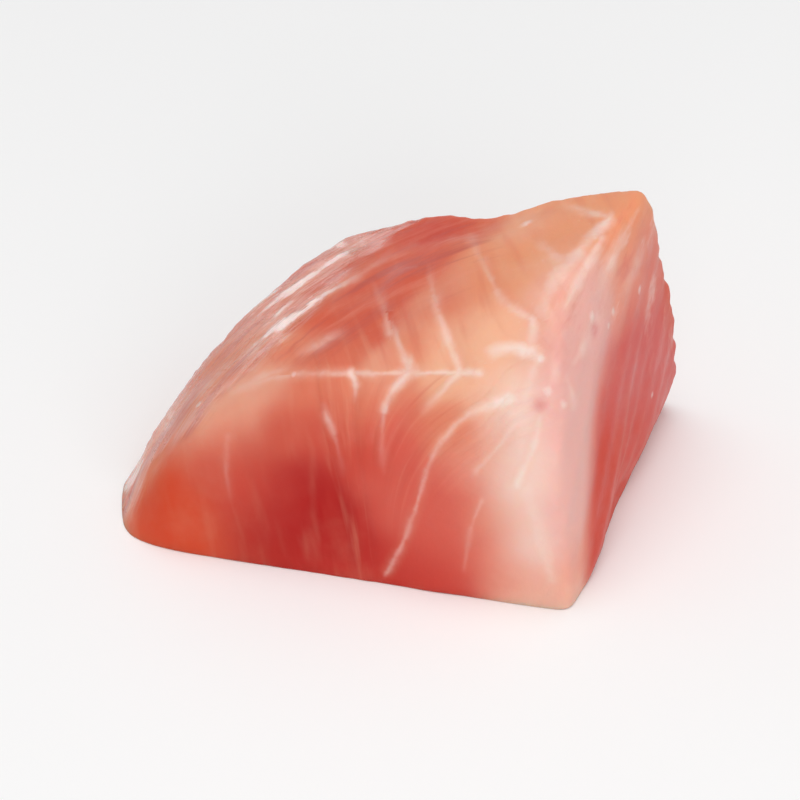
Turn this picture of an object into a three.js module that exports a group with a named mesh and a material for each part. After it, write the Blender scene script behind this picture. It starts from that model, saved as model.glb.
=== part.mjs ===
// A raw, skinned and boned chunk of nile perch fillet, cut from the thick part of a side.
// Millimetres, +Z up. It lies on its flat underside as it does in the pile: the long axis is X,
// the wide front cut faces -Y, the pale narrow cut faces +X, the thin rounded tip points to -X
// and the silvery outer membrane is on the upper left, towards -X and +Y.
import * as THREE from "three";

// The point that every surface point is measured from, inside the flesh.
const HEART = [3.5, -1.8, 13.0];

// Groups of faces: how tightly the faces of a group meet each other (own), and how tightly the
// group meets the groups before it (meeting). Higher is a sharper edge.
const GROUPS = [
  { name: "upper", own: 11, meeting: 28 },
  { name: "right", own: 18, meeting: 28 },
  { name: "back", own: 30, meeting: 60 },
  { name: "under", own: 16, meeting: 34 },
];

// Each face of the chunk: its group, its outward direction and one point on it.
const FACES = [
  { name: "front_cut", group: "upper", out: [-0.248, -0.966, 0.071], at: [7.4, -17.3, 5.0] },
  { name: "front_cut_upper", group: "upper", out: [-0.25, -0.829, 0.5], at: [5.5, -12.6, 20.0] },
  { name: "crest", group: "upper", out: [-0.359, -0.449, 0.818], at: [4.9, -10.4, 25.0] },
  { name: "top", group: "upper", out: [-0.286, 0.153, 0.946], at: [19.2, -0.6, 31.3] },
  { name: "top_slope", group: "upper", out: [-0.437, -0.052, 0.898], at: [-10.8, -3.8, 19.2] },
  { name: "membrane_band", group: "upper", out: [-0.494, 0.218, 0.842], at: [-16.8, 1.0, 17.0] },
  { name: "tip", group: "upper", out: [-0.915, -0.289, 0.281], at: [-27.3, -4.9, 5.1] },
  { name: "tip_upper", group: "upper", out: [-0.817, 0.145, 0.558], at: [-23.7, -5.1, 8.5] },
  { name: "shoulder", group: "right", out: [0.639, -0.464, 0.614], at: [15.8, -11.1, 29.1] },
  { name: "right_cut", group: "right", out: [0.809, -0.543, 0.225], at: [19.2, -18.6, 3.3] },
  { name: "right_fold", group: "right", out: [0.942, -0.325, 0.082], at: [20.9, -12.6, 8.2] },
  { name: "right_undercut", group: "right", out: [0.853, -0.198, -0.482], at: [19.6, -19.3, -0.4] },
  { name: "back_cut", group: "back", out: [0.26, 0.927, 0.269], at: [25.7, 11.1, 21.3] },
  { name: "membrane_side", group: "back", out: [-0.619, 0.785, 0.025], at: [-16.4, 11.1, 14.2] },
  { name: "underside", group: "under", out: [0, 0, -1], at: [0, 0, -1.0] },
];

// The muscle flakes: thin sheets of gristle, SEPTUM_PITCH apart along X, run up over the top
// leaning back and fan together down the front, from a level line on the crest.
const SEPTUM_PITCH = 5.18;
const FIRST_SEPTUM_X = -3.9;
const LEVEL_LINE = 12.5; // height of that line, measured square to the 35 degree lean
const LEAN = (35 * Math.PI) / 180;
const FAN_X = -4.0; // the line that the lower arms gather to
const FAN_REACH = 6.2; // how far below the level line they have mostly gathered
const FAN_LEFT = 0.3; // share of their spacing that is left
const UPPER_LEAN = 0.33;
const FLAKE_SWELL = 0.12; // how far a flake stands out between two septa

// Soft dents and swellings left by handling and by the pieces around it.
const DENTS = [
  { name: "front_hollow", at: [-7, -15.5, 7], radius: 8, depth: 0.9 },
  { name: "left_front_hollow", at: [-19, -12.5, 4], radius: 5, depth: 0.45 },
  { name: "right_notch", at: [23.6, -3.5, 0.6], radius: 6.5, depth: 1.3 },
  { name: "top_hollow", at: [-2, 2, 25], radius: 7, depth: 0.5 },
  { name: "front_edge_swell", at: [16.5, -17, 12], radius: 6, depth: -0.35 },
  { name: "top_corner_swell", at: [22, 6, 30], radius: 5, depth: -0.3 },
  { name: "back_edge_notch", at: [9.6, 12.3, 26.0], radius: 4.5, depth: 1.1 },
  { name: "back_hollow", at: [6, 17, 14], radius: 9, depth: 0.8 },
];

// The mesh: turns round the chunk, steps from the underside to the top, rings of the underside.
const TURNS = 120;
const STEPS = 34;
const UNDERSIDE_RINGS = 4;
const HALF_SIZES = [28, 18, 15]; // the long shape that turns and rises are counted on
// Turns and steps are drawn together where the surface bends. A radian of bend counts as
// this many mm, and the bend is averaged over this many samples to each side.
const BEND_LENGTH = 2.5;
const BEND_BLUR = 3;
const GUIDE_SHARE = 0.4; // how far up the sides the turns are spread
const TURN_SAMPLES = 480;
const RISE_SAMPLES = 140;

// Moves the finished shape so that the middle of its box is on the Z axis.
const RECENTRE = [-0.937, -2.083, 0];

const FLESH_COLOUR = new THREE.Color().setRGB(
  0.86,
  0.52,
  0.43,
  THREE.SRGBColorSpace,
);

const dot = (a, b) => a[0] * b[0] + a[1] * b[1] + a[2] * b[2];
const unit = (a) => {
  const l = Math.hypot(a[0], a[1], a[2]);
  return [a[0] / l, a[1] / l, a[2] / l];
};

const faces = FACES.map((f) => {
  const out = unit(f.out);
  const reach = dot(out, [0, 1, 2].map((i) => f.at[i] - HEART[i]));
  return { group: f.group, out, reach };
});

// The largest of the values, rounded off where several are nearly as large.
function roundedMax(values, sharpness) {
  const most = Math.max(...values, 1e-9);
  let sum = 0;
  for (const v of values) sum += (v / most) ** sharpness;
  return most * sum ** (1 / sharpness);
}

// Distance from the heart to the rounded cut faces, in direction d.
function cutDistance(d) {
  let body = 0;
  for (const group of GROUPS) {
    const members = faces.filter((f) => f.group === group.name);
    const side = roundedMax(
      members.map((f) => Math.max(0, dot(f.out, d)) / f.reach),
      group.own,
    );
    body = body ? roundedMax([body, side], group.meeting) : side;
  }
  return 1 / body;
}

// Which flake a point is in (a whole number is on a septum), and how wide the flakes are there.
function flake(p) {
  const height = p[1] * Math.sin(LEAN) + p[2] * Math.cos(LEAN);
  const drop = LEVEL_LINE - height;
  if (drop < 0)
    return {
      at: (p[0] - UPPER_LEAN * drop - FIRST_SEPTUM_X) / SEPTUM_PITCH,
      width: 1,
    };
  const spread = FAN_LEFT + (1 - FAN_LEFT) * Math.exp(-drop / FAN_REACH);
  const width = p[0] > FAN_X ? spread : 0.75 + 0.25 * spread;
  return {
    at: (FAN_X + (p[0] - FAN_X) / width - FIRST_SEPTUM_X) / SEPTUM_PITCH,
    width,
  };
}

function ripple(p) {
  return (
    0.16 * Math.sin(p[0] * 0.31 + p[2] * 0.23 + 0.4) +
    0.12 * Math.sin(p[1] * 0.47 - p[2] * 0.36 + 1.9) +
    0.09 * Math.sin(p[0] * 0.62 - p[1] * 0.53 + 2.7) +
    0.06 * Math.sin(p[0] * 1.1 + p[1] * 0.9 - p[2] * 1.2)
  );
}

// How far the flesh stands out from the plain cut faces at a point.
function relief(p) {
  const { at, width } = flake(p);
  let out = FLAKE_SWELL * width * (0.5 - 0.5 * Math.cos(2 * Math.PI * at));
  for (const d of DENTS) {
    const away =
      Math.hypot(p[0] - d.at[0], p[1] - d.at[1], p[2] - d.at[2]) / d.radius;
    out -= d.depth * Math.exp(-away * away);
  }
  // The underside is pressed flat by the chunk's own weight.
  const clear = Math.min(1, Math.max(0, (p[2] + 1) / 2.5));
  return (out + ripple(p)) * clear;
}

function surface(turn, rise) {
  const d = unit([
    HALF_SIZES[0] * Math.cos(rise) * Math.cos(turn),
    HALF_SIZES[1] * Math.cos(rise) * Math.sin(turn),
    HALF_SIZES[2] * Math.sin(rise),
  ]);
  const cut = cutDistance(d);
  const plain = [0, 1, 2].map((i) => HEART[i] + d[i] * cut);
  const out = cut + relief(plain);
  return [0, 1, 2].map((i) => HEART[i] + d[i] * out);
}

// The rise at which the surface meets the floor, in one turn direction.
function floorRise(turn) {
  let low = -Math.PI / 2 + 0.02;
  let high = 0;
  for (let i = 0; i < 60; i++) {
    const middle = (low + high) / 2;
    if (surface(turn, middle)[2] < 0) low = middle;
    else high = middle;
  }
  return high;
}

function reachOfMiddle(p, q) {
  return Math.hypot(...[0, 1, 2].map((i) => (p[i] + q[i]) / 2 - HEART[i]));
}

// Places, counted in samples, that cut a line of points into equal shares of length and bend.
// A closed line runs on from its last point to its first.
function evenPlaces(points, count, closed) {
  const n = points.length;
  const at = (i) => points[closed ? (i + n) % n : Math.min(n - 1, Math.max(0, i))];
  const legs = [];
  for (let i = 0; i < (closed ? n : n - 1); i++)
    legs.push(at(i + 1).map((v, k) => v - at(i)[k]));
  const last = legs.length;
  const leg = (i) => legs[closed ? (i + last) % last : Math.min(last - 1, Math.max(0, i))];
  const bend = legs.map((_, i) => {
    const cosine = dot(unit(leg(i)), unit(leg(i + 1)));
    return Math.acos(Math.min(1, Math.max(-1, cosine)));
  });
  const total = [0];
  for (let i = 0; i < last; i++) {
    let turned = 0;
    for (let j = -BEND_BLUR; j <= BEND_BLUR; j++)
      turned += bend[closed ? (i + j + last) % last : Math.min(last - 1, Math.max(0, i + j))];
    turned /= 2 * BEND_BLUR + 1;
    total.push(total[i] + Math.hypot(...legs[i]) + BEND_LENGTH * turned);
  }
  const places = [];
  let i = 0;
  for (let k = 0; k < (closed ? count : count + 1); k++) {
    const wanted = (total[last] * k) / count;
    while (i < last - 1 && total[i + 1] < wanted) i++;
    places.push(i + (wanted - total[i]) / (total[i + 1] - total[i]));
  }
  return places;
}

// A middling line round the sides, which the turns are spread along.
function turnPlaces() {
  const line = [];
  for (let i = 0; i < TURN_SAMPLES; i++) {
    const turn = (2 * Math.PI * i) / TURN_SAMPLES;
    const low = floorRise(turn);
    line.push(surface(turn, low + (Math.PI / 2 - low) * GUIDE_SHARE));
  }
  return evenPlaces(line, TURNS, true).map((v) => (2 * Math.PI * v) / TURN_SAMPLES);
}

function chunkGeometry() {
  const points = [];
  const triangles = [];
  const ring = (r, t) => r * TURNS + (t % TURNS);
  const turns = turnPlaces();
  // Rises of the steps on each turn, then evened out between neighbouring turns.
  const rises = turns.map((turn) => {
    const low = floorRise(turn);
    const span = Math.PI / 2 - low;
    const line = [];
    for (let j = 0; j <= RISE_SAMPLES; j++)
      line.push(surface(turn, low + (span * j) / RISE_SAMPLES));
    return evenPlaces(line, STEPS, false).map((v) => v / RISE_SAMPLES);
  });
  const evened = (t, step) =>
    [-2, -1, 0, 1, 2].reduce((sum, k) => sum + rises[(t + k + TURNS) % TURNS][step], 0) / 5;
  const sideRings = [];
  for (let step = 0; step < STEPS; step++)
    sideRings.push(
      turns.map((turn, t) => {
        const low = floorRise(turn);
        const p = surface(turn, low + (Math.PI / 2 - low) * (step ? evened(t, step) : 0));
        return step ? p : [p[0], p[1], 0];
      }),
    );
  // Underside rings, from its middle outwards, then the sides and the top.
  const floor = sideRings[0];
  const middle = [0, 1].map(
    (i) => floor.reduce((sum, p) => sum + p[i], 0) / TURNS,
  );
  for (let r = 0; r < UNDERSIDE_RINGS; r++) {
    const share = (r + 1) / (UNDERSIDE_RINGS + 1);
    for (const p of floor)
      points.push([
        middle[0] + (p[0] - middle[0]) * share,
        middle[1] + (p[1] - middle[1]) * share,
        0,
      ]);
  }
  for (const side of sideRings) points.push(...side);
  const rings = UNDERSIDE_RINGS + STEPS;
  for (let r = 0; r + 1 < rings; r++)
    for (let t = 0; t < TURNS; t++) {
      const a = ring(r, t);
      const b = ring(r, t + 1);
      const c = ring(r + 1, t + 1);
      const d = ring(r + 1, t);
      // Each four-sided patch is split along the diagonal that stands further out.
      if (reachOfMiddle(points[a], points[c]) >= reachOfMiddle(points[b], points[d]))
        triangles.push(a, b, c, a, c, d);
      else triangles.push(a, b, d, b, c, d);
    }
  const bottom = points.push([middle[0], middle[1], 0]) - 1;
  const summit = points.push(surface(0, Math.PI / 2)) - 1;
  for (let t = 0; t < TURNS; t++) {
    triangles.push(bottom, ring(0, t + 1), ring(0, t));
    triangles.push(ring(rings - 1, t), ring(rings - 1, t + 1), summit);
  }
  const geometry = new THREE.BufferGeometry();
  geometry.setAttribute(
    "position",
    new THREE.Float32BufferAttribute(points.flat(), 3),
  );
  geometry.setIndex(triangles);
  geometry.translate(...RECENTRE);
  geometry.computeVertexNormals();
  return geometry;
}

const chunk = new THREE.Mesh(
  chunkGeometry(),
  new THREE.MeshStandardMaterial({
    name: "flesh",
    color: FLESH_COLOUR,
    roughness: 0.35,
    metalness: 0,
  }),
);
chunk.name = "fillet_chunk";

const part = new THREE.Group();
part.name = "nile_perch_fillet";
part.add(chunk);

export default part;
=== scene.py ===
import math

import bpy
import numpy as np
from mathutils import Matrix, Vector


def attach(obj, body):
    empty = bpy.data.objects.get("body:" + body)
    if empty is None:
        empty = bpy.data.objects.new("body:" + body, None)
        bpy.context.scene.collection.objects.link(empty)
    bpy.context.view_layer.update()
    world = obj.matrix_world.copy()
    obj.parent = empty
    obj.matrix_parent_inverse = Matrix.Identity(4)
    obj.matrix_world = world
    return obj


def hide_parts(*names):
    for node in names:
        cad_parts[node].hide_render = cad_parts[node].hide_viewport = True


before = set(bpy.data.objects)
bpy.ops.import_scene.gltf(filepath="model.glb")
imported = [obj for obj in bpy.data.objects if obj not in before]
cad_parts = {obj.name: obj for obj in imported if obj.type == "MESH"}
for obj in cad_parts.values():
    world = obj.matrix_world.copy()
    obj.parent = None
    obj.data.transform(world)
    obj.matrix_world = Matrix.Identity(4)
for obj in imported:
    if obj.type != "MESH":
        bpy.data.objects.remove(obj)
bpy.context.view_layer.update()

MM = 0.001

# ---------------------------------------------------------------------------
# Form, in millimetres. The same rounded meeting of cut faces as the solid.
# ---------------------------------------------------------------------------
HEART = np.array([3.782, -2.166, 13.0])
MEASURED_FROM = np.array([0.282, -0.366, 0.0])
# The middle of the finished shape's box, which goes to the Z axis.
MIDDLE = np.array([1.219, 1.717, 0.0])
# Groups of faces: how tightly the faces of a group meet each other, and how tightly
# the group meets those before it.
GROUPS = {
    "upper": (11.0, 28.0),
    "right": (18.0, 28.0),
    "back": (30.0, 60.0),
    "under": (16.0, 34.0),
}
FACES = {  # group, outward direction, a point on the face
    "front_cut": ("upper", (-0.248, -0.966, 0.071), (7.4, -17.3, 5.0)),
    "front_cut_upper": ("upper", (-0.25, -0.829, 0.5), (5.5, -12.6, 20.0)),
    "crest": ("upper", (-0.359, -0.449, 0.818), (4.9, -10.4, 25.0)),
    "top": ("upper", (-0.286, 0.153, 0.946), (19.2, -0.6, 31.3)),
    "top_slope": ("upper", (-0.437, -0.052, 0.898), (-10.8, -3.8, 19.2)),
    "membrane_band": ("upper", (-0.494, 0.218, 0.842), (-16.8, 1.0, 17.0)),
    "tip": ("upper", (-0.915, -0.289, 0.281), (-27.3, -4.9, 5.1)),
    "tip_upper": ("upper", (-0.817, 0.145, 0.558), (-23.7, -5.1, 8.5)),
    "shoulder": ("right", (0.639, -0.464, 0.614), (15.8, -11.1, 29.1)),
    "right_cut": ("right", (0.809, -0.543, 0.225), (19.2, -18.6, 3.3)),
    "right_fold": ("right", (0.942, -0.325, 0.082), (20.9, -12.6, 8.2)),
    "right_undercut": ("right", (0.853, -0.198, -0.482), (19.6, -19.3, -0.4)),
    "back_cut": ("back", (0.26, 0.927, 0.269), (25.7, 11.1, 21.3)),
    "membrane_side": ("back", (-0.619, 0.785, 0.025), (-16.4, 11.1, 14.2)),
    "underside": ("under", (0, 0, -1), (0, 0, -1.0)),
}
NAMES = list(FACES)
OUT = np.array([np.array(f[1], float) / np.linalg.norm(f[1]) for f in FACES.values()])
REACH = np.array(
    [
        o @ (np.array(f[2], float) + MEASURED_FROM - HEART)
        for o, f in zip(OUT, FACES.values())
    ]
)
DENTS = [  # place, radius, depth
    ((-7, -15.5, 7), 8, 0.9),
    ((-19, -12.5, 4), 5, 0.45),
    ((23.6, -3.5, 0.6), 6.5, 1.3),
    ((-2, 2, 25), 7, 0.5),
    ((16.5, -17, 12), 6, -0.35),
    ((22, 6, 30), 5, -0.3),
    ((9.6, 12.3, 26.0), 4.5, 1.1),
    ((6, 17, 14), 9, 0.8),
]
HALF_SIZES = np.array([28.0, 18.0, 15.0])
LEAN = math.radians(35)


def rounded_max(g, sharpness):
    most = np.maximum(g.max(1), 1e-9)
    return most * ((g / most[:, None]) ** sharpness).sum(1) ** (1 / sharpness)


def group_values(d):
    g = np.maximum(d @ OUT.T, 0) / REACH
    values = []
    for group, (own, _) in GROUPS.items():
        members = [i for i, f in enumerate(FACES.values()) if f[0] == group]
        values.append(rounded_max(g[:, members], own))
    return np.stack(values, 1)


def cut_distance(d):
    sides = group_values(d)
    body = sides[:, 0]
    for k, (_, meeting) in enumerate(GROUPS.values()):
        if k:
            body = rounded_max(np.stack([body, sides[:, k]], 1), meeting)
    return 1 / body


def edge_nearness(d):
    """1 on the cut edges between groups of faces, 0 away from them."""
    sides = np.sort(group_values(d), 1)
    return smooth(0.9, 0.985, sides[:, -2] / sides[:, -1])


def wander(p, wave, seed):
    """Smooth irregular values, mostly from -1 to 1, that change over `wave` mm."""
    out = np.zeros(len(p))
    for k in range(7):
        turn, tilt = seed + 2.4 * k, math.sin(1.7 * seed + 1.9 * k)
        flat = math.sqrt(1 - tilt * tilt)
        way = np.array([flat * math.cos(turn), flat * math.sin(turn), tilt])
        out += np.sin(p @ way * (2 * math.pi / wave) * (0.7 + 0.12 * k) + seed + k * k)
    return out / 2.6


def face_share(d, softness):
    """How much each cut face owns a direction, from 0 to 1."""
    g = np.maximum(d @ OUT.T, 0) / REACH
    w = (g / g.max(1)[:, None]) ** softness
    return w / w.sum(1)[:, None]


def smooth(a, b, x):
    t = np.clip((x - a) / (b - a), 0, 1)
    return t * t * (3 - 2 * t)


# Septa: the thin white sheets between the muscle flakes. Where each one meets the
# level line on the crest, in X.
SEPTA_X = {
    -4: -25.5,
    -3: -20.0,
    -2: -15.2,
    -1: -7.1,
    0: -3.6,
    1: 1.9,
    2: 7.3,
    3: 16.4,
    4: 26.9,
    5: 33.0,
    6: 40.0,
}
LEVEL = 12.45  # height of the level line, square to the lean
FAN_X = -3.55
FAN_REACH = 6.3
FAN_LEFT = 0.03
LEFT_REACH = 0.8
LEFT_SPACING = 1.1
UPPER_LEAN = 0.36


def level_height(x):
    return LEVEL + 1.9 * smooth(8.5, 12.5, x)


def flake(p):
    """Flake number, drop below the level line and local flake pitch in mm."""
    x = p[:, 0]
    height = p[:, 1] * math.sin(LEAN) + p[:, 2] * math.cos(LEAN)
    drop = level_height(x) - height
    below = np.maximum(drop, 0)
    w = FAN_LEFT + (1 - FAN_LEFT) * np.exp(-below / FAN_REACH)
    fan = FAN_X + 0.2 * np.maximum(below - 5.8, 0)
    left = np.maximum(fan - x, 0)
    w_left = 0.22 + 0.78 * np.exp(-below / FAN_REACH)
    shift = LEFT_REACH * (1 / w_left - 1 / LEFT_SPACING)
    on_left = left / LEFT_SPACING + shift * (
        1 - np.exp(-left / LEFT_REACH)
    ) * np.exp(-left / 15)
    anchor = FAN_X + (fan - FAN_X) * np.exp(-left / 4)
    fanned = np.where(x > fan, fan + (x - fan) / w, anchor - on_left)
    slope = 1 / LEFT_SPACING + shift / LEFT_REACH * np.exp(-left / LEFT_REACH)
    w = np.where(x > fan, w, 1 / slope)
    above = np.maximum(-drop, 0)
    bend = 1.8 * smooth(8, 12, x) * (1 - np.exp(-above / 3))
    at_level = np.where(drop > 0, fanned, x + UPPER_LEAN * above + bend)
    ks = np.array(sorted(SEPTA_X))
    xs = np.array([SEPTA_X[k] for k in ks])
    s = np.interp(at_level, xs, ks)
    s = s + np.maximum(at_level - xs[-1], 0) / (xs[-1] - xs[-2])
    s = s - np.maximum(xs[0] - at_level, 0) / (xs[1] - xs[0])
    gap = np.interp(at_level, xs[:-1] + np.diff(xs) / 2, np.diff(xs))
    pitch = gap * np.where(drop > 0, w, 1.0)
    return s, drop, pitch


def ripple(p):
    x, y, z = p.T
    return (
        0.16 * np.sin(x * 0.31 + z * 0.23 + 0.4)
        + 0.12 * np.sin(y * 0.47 - z * 0.36 + 1.9)
        + 0.09 * np.sin(x * 0.62 - y * 0.53 + 2.7)
        + 0.06 * np.sin(x * 1.1 + y * 0.9 - z * 1.2)
    )


def right_share(share):
    return sum(
        share[:, NAMES.index(n)] for n in ("right_cut", "right_fold", "right_undercut")
    )


def relief(p, share, edge):
    s, drop, pitch = flake(p)
    on_right = right_share(share)
    off = np.abs(s - np.round(s)) * pitch  # mm from the nearest septum
    grain = (1 - smooth(0.1, 0.6, on_right)) * smooth(3, 7, along_arc(p)[0])
    swell = 0.12 * np.clip(pitch / 5, 0, 1) * smooth(0.9, 2.0, pitch)
    swell = swell * (1 - 0.85 * smooth(0.3, 0.9, on_right))
    out = swell * (0.5 - 0.5 * np.cos(2 * np.pi * s))
    out -= 0.1 * np.exp(-((off / 0.35) ** 2)) * grain * smooth(0.6, 2.0, pitch)
    for at, radius, depth in DENTS:
        away = np.linalg.norm(p - MEASURED_FROM - np.array(at), axis=1) / radius
        out -= depth * np.exp(-away * away)
    out += ripple(p - MEASURED_FROM)
    # The knife leaves the edges a little ragged.
    out += edge * (0.1 * wander(p, 3.8, 0.7) + 0.05 * wander(p, 1.6, 4.1))
    clear = np.clip((p[:, 2] + 1) / 2.5, 0, 1)
    return out * clear


def chunk_points(d):
    cut = cut_distance(d)
    plain = HEART + d * cut[:, None]
    share = face_share(d, 9.0)
    p = HEART + d * (cut + relief(plain, share, edge_nearness(d)))[:, None]
    # The underside is pressed flat on what it lies on.
    z = p[:, 2]
    p[:, 2] = 0.5 * (z + np.sqrt(z * z + 0.09))
    p[:, 2] = np.where(z < -0.6, 0.0, p[:, 2])
    return p, share


def cube_sphere(n):
    """A closed grid of directions, six patches of n by n, spread over the long shape."""
    t = np.tan(np.linspace(-math.pi / 4, math.pi / 4, n + 1))
    index, points, quads = {}, [], []
    for axis in range(3):
        for side in (1, -1):
            grid = np.zeros((n + 1, n + 1), int)
            for i in range(n + 1):
                for j in range(n + 1):
                    v = [0.0, 0.0, 0.0]
                    v[axis] = side
                    v[(axis + 1) % 3] = t[i]
                    v[(axis + 2) % 3] = t[j]
                    key = tuple(round(c, 6) for c in v)
                    if key not in index:
                        index[key] = len(points)
                        points.append(v)
                    grid[i, j] = index[key]
            for i in range(n):
                for j in range(n):
                    q = [grid[i, j], grid[i + 1, j], grid[i + 1, j + 1], grid[i, j + 1]]
                    quads.append(q if side > 0 else q[::-1])
    d = np.array(points) * HALF_SIZES
    return d / np.linalg.norm(d, axis=1)[:, None], quads


# ---------------------------------------------------------------------------
# Colour zones of the flesh, with painted shade and highlights among them. Display colours, 0 to 1.
# ---------------------------------------------------------------------------
def rgb(r, g, b):
    """Display colour to the linear colour that the nodes take."""
    c = np.array([r, g, b]) / 255.0
    return np.where(c <= 0.04045, c / 12.92, ((c + 0.055) / 1.055) ** 2.4)


PALETTE = {
    "apricot": rgb(234, 154, 114),
    "light_peach": rgb(240, 184, 152),
    "cream": rgb(246, 214, 202),
    "pink": rgb(234, 177, 168),
    "rose": rgb(212, 92, 86),
    "salmon": rgb(226, 136, 106),
    "coral": rgb(212, 92, 66),
    "red": rgb(206, 74, 58),
    "rosy_red": rgb(218, 98, 82),
    "blush": rgb(234, 152, 130),
    "crest_peach": rgb(232, 164, 138),
    "crest_salmon": rgb(222, 126, 98),
    "front_peach": rgb(238, 184, 164),
    "crest_coral": rgb(210, 94, 74),
    # painted shade colour
    "shade_red_deep": rgb(178, 3, 3),
    "orange": rgb(214, 64, 20),
    "film_pink": rgb(206, 106, 84),
    "shoulder_rose": rgb(222, 120, 104),
    "tip_orange": rgb(218, 108, 60),
    # painted contact shadow colour
    "shade_red_low": rgb(200, 60, 48),
    "film_tan": rgb(208, 112, 72),
    # the membrane's silvery colour, also carrying painted sheen and glints
    "silver": rgb(238, 196, 180),
    "film_white": rgb(250, 226, 222),
    "film_gap": rgb(190, 88, 78),
    # painted shade colour for the foot of the fold
    "fold_shade_red": rgb(208, 66, 46),
    "rosy_spot": rgb(216, 104, 106),
    "gristle": rgb(247, 226, 217),
}
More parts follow.
